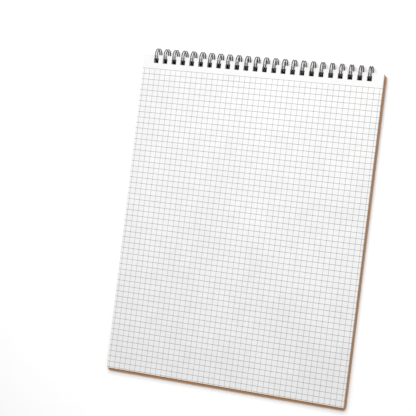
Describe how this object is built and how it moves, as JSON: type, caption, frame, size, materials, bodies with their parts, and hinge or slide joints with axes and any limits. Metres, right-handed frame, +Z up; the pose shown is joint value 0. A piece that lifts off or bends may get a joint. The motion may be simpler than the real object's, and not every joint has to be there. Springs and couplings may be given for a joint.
{
  "type": "wire-bound sketchbook",
  "caption": "Sketchbook of squared paper on a twin-loop wire, with a kraft back board, every sheet separate and turning on the wire, and the cover folded behind.",
  "frame": {"origin": "under the middle of the whole book, on the surface it lies on", "axes": "+Z up out of the open page, +Y along the page towards the wire binding, +X to the right of the page"},
  "size_m": [0.2216, 0.2987, 0.0133],
  "materials": {
    "wire": "satin",
    "kraft_cover": "matte",
    "kraft_board": "matte",
    "sheet_paper": "matte"
  },
  "bodies": {
    "root": {"back_board": "kraft_board", "binding_wire": "wire"},
    "front_cover": {"front_cover": "kraft_cover"},
    "sheet_01": {"sheet_01": "sheet_paper"},
    "sheet_02": {"sheet_02": "sheet_paper"},
    "sheet_03": {"sheet_03": "sheet_paper"},
    "sheet_04": {"sheet_04": "sheet_paper"},
    "sheet_05": {"sheet_05": "sheet_paper"},
    "sheet_06": {"sheet_06": "sheet_paper"},
    "sheet_07": {"sheet_07": "sheet_paper"},
    "sheet_08": {"sheet_08": "sheet_paper"},
    "sheet_09": {"sheet_09": "sheet_paper"},
    "sheet_10": {"sheet_10": "sheet_paper"},
    "sheet_11": {"sheet_11": "sheet_paper"},
    "sheet_12": {"sheet_12": "sheet_paper"},
    "sheet_13": {"sheet_13": "sheet_paper"},
    "sheet_14": {"sheet_14": "sheet_paper"},
    "sheet_15": {"sheet_15": "sheet_paper"},
    "sheet_16": {"sheet_16": "sheet_paper"},
    "sheet_17": {"sheet_17": "sheet_paper"},
    "sheet_18": {"sheet_18": "sheet_paper"},
    "sheet_19": {"sheet_19": "sheet_paper"},
    "sheet_20": {"sheet_20": "sheet_paper"},
    "sheet_21": {"sheet_21": "sheet_paper"},
    "sheet_22": {"sheet_22": "sheet_paper"},
    "sheet_23": {"sheet_23": "sheet_paper"},
    "sheet_24": {"sheet_24": "sheet_paper"},
    "sheet_25": {"sheet_25": "sheet_paper"},
    "sheet_26": {"sheet_26": "sheet_paper"},
    "sheet_27": {"sheet_27": "sheet_paper"},
    "sheet_28": {"sheet_28": "sheet_paper"},
    "sheet_29": {"sheet_29": "sheet_paper"},
    "sheet_30": {"sheet_30": "sheet_paper"}
  },
  "joints": [
    {"name": "cover_turn", "type": "hinge", "parent": "root", "child": "front_cover", "pos_m": [0, 0.14274, 0.00663], "axis": [1, 0, 0], "range_deg": [0, 180]},
    {"name": "sheet_01_turn", "type": "hinge", "parent": "sheet_02", "child": "sheet_01", "pos_m": [0, 0.14274, 0.00663], "axis": [-1, 0, 0], "range_deg": [0, 180]},
    {"name": "sheet_02_turn", "type": "hinge", "parent": "sheet_03", "child": "sheet_02", "pos_m": [0, 0.14274, 0.00663], "axis": [-1, 0, 0], "range_deg": [0, 180]},
    {"name": "sheet_03_turn", "type": "hinge", "parent": "sheet_04", "child": "sheet_03", "pos_m": [0, 0.14274, 0.00663], "axis": [-1, 0, 0], "range_deg": [0, 180]},
    {"name": "sheet_04_turn", "type": "hinge", "parent": "sheet_05", "child": "sheet_04", "pos_m": [0, 0.14274, 0.00663], "axis": [-1, 0, 0], "range_deg": [0, 180]},
    {"name": "sheet_05_turn", "type": "hinge", "parent": "sheet_06", "child": "sheet_05", "pos_m": [0, 0.14274, 0.00663], "axis": [-1, 0, 0], "range_deg": [0, 180]},
    {"name": "sheet_06_turn", "type": "hinge", "parent": "sheet_07", "child": "sheet_06", "pos_m": [0, 0.14274, 0.00663], "axis": [-1, 0, 0], "range_deg": [0, 180]},
    {"name": "sheet_07_turn", "type": "hinge", "parent": "sheet_08", "child": "sheet_07", "pos_m": [0, 0.14274, 0.00663], "axis": [-1, 0, 0], "range_deg": [0, 180]},
    {"name": "sheet_08_turn", "type": "hinge", "parent": "sheet_09", "child": "sheet_08", "pos_m": [0, 0.14274, 0.00663], "axis": [-1, 0, 0], "range_deg": [0, 180]},
    {"name": "sheet_09_turn", "type": "hinge", "parent": "sheet_10", "child": "sheet_09", "pos_m": [0, 0.14274, 0.00663], "axis": [-1, 0, 0], "range_deg": [0, 180]},
    {"name": "sheet_10_turn", "type": "hinge", "parent": "sheet_11", "child": "sheet_10", "pos_m": [0, 0.14274, 0.00663], "axis": [-1, 0, 0], "range_deg": [0, 180]},
    {"name": "sheet_11_turn", "type": "hinge", "parent": "sheet_12", "child": "sheet_11", "pos_m": [0, 0.14274, 0.00663], "axis": [-1, 0, 0], "range_deg": [0, 180]},
    {"name": "sheet_12_turn", "type": "hinge", "parent": "sheet_13", "child": "sheet_12", "pos_m": [0, 0.14274, 0.00663], "axis": [-1, 0, 0], "range_deg": [0, 180]},
    {"name": "sheet_13_turn", "type": "hinge", "parent": "sheet_14", "child": "sheet_13", "pos_m": [0, 0.14274, 0.00663], "axis": [-1, 0, 0], "range_deg": [0, 180]},
    {"name": "sheet_14_turn", "type": "hinge", "parent": "sheet_15", "child": "sheet_14", "pos_m": [0, 0.14274, 0.00663], "axis": [-1, 0, 0], "range_deg": [0, 180]},
    {"name": "sheet_15_turn", "type": "hinge", "parent": "sheet_16", "child": "sheet_15", "pos_m": [0, 0.14274, 0.00663], "axis": [-1, 0, 0], "range_deg": [0, 180]},
    {"name": "sheet_16_turn", "type": "hinge", "parent": "sheet_17", "child": "sheet_16", "pos_m": [0, 0.14274, 0.00663], "axis": [-1, 0, 0], "range_deg": [0, 180]},
    {"name": "sheet_17_turn", "type": "hinge", "parent": "sheet_18", "child": "sheet_17", "pos_m": [0, 0.14274, 0.00663], "axis": [-1, 0, 0], "range_deg": [0, 180]},
    {"name": "sheet_18_turn", "type": "hinge", "parent": "sheet_19", "child": "sheet_18", "pos_m": [0, 0.14274, 0.00663], "axis": [-1, 0, 0], "range_deg": [0, 180]},
    {"name": "sheet_19_turn", "type": "hinge", "parent": "sheet_20", "child": "sheet_19", "pos_m": [0, 0.14274, 0.00663], "axis": [-1, 0, 0], "range_deg": [0, 180]},
    {"name": "sheet_20_turn", "type": "hinge", "parent": "sheet_21", "child": "sheet_20", "pos_m": [0, 0.14274, 0.00663], "axis": [-1, 0, 0], "range_deg": [0, 180]},
    {"name": "sheet_21_turn", "type": "hinge", "parent": "sheet_22", "child": "sheet_21", "pos_m": [0, 0.14274, 0.00663], "axis": [-1, 0, 0], "range_deg": [0, 180]},
    {"name": "sheet_22_turn", "type": "hinge", "parent": "sheet_23", "child": "sheet_22", "pos_m": [0, 0.14274, 0.00663], "axis": [-1, 0, 0], "range_deg": [0, 180]},
    {"name": "sheet_23_turn", "type": "hinge", "parent": "sheet_24", "child": "sheet_23", "pos_m": [0, 0.14274, 0.00663], "axis": [-1, 0, 0], "range_deg": [0, 180]},
    {"name": "sheet_24_turn", "type": "hinge", "parent": "sheet_25", "child": "sheet_24", "pos_m": [0, 0.14274, 0.00663], "axis": [-1, 0, 0], "range_deg": [0, 180]},
    {"name": "sheet_25_turn", "type": "hinge", "parent": "sheet_26", "child": "sheet_25", "pos_m": [0, 0.14274, 0.00663], "axis": [-1, 0, 0], "range_deg": [0, 180]},
    {"name": "sheet_26_turn", "type": "hinge", "parent": "sheet_27", "child": "sheet_26", "pos_m": [0, 0.14274, 0.00663], "axis": [-1, 0, 0], "range_deg": [0, 180]},
    {"name": "sheet_27_turn", "type": "hinge", "parent": "sheet_28", "child": "sheet_27", "pos_m": [0, 0.14274, 0.00663], "axis": [-1, 0, 0], "range_deg": [0, 180]},
    {"name": "sheet_28_turn", "type": "hinge", "parent": "sheet_29", "child": "sheet_28", "pos_m": [0, 0.14274, 0.00663], "axis": [-1, 0, 0], "range_deg": [0, 180]},
    {"name": "sheet_29_turn", "type": "hinge", "parent": "sheet_30", "child": "sheet_29", "pos_m": [0, 0.14274, 0.00663], "axis": [-1, 0, 0], "range_deg": [0, 180]},
    {"name": "sheet_30_turn", "type": "hinge", "parent": "root", "child": "sheet_30", "pos_m": [0, 0.14274, 0.00663], "axis": [-1, 0, 0], "range_deg": [0, 180]}
  ]
}
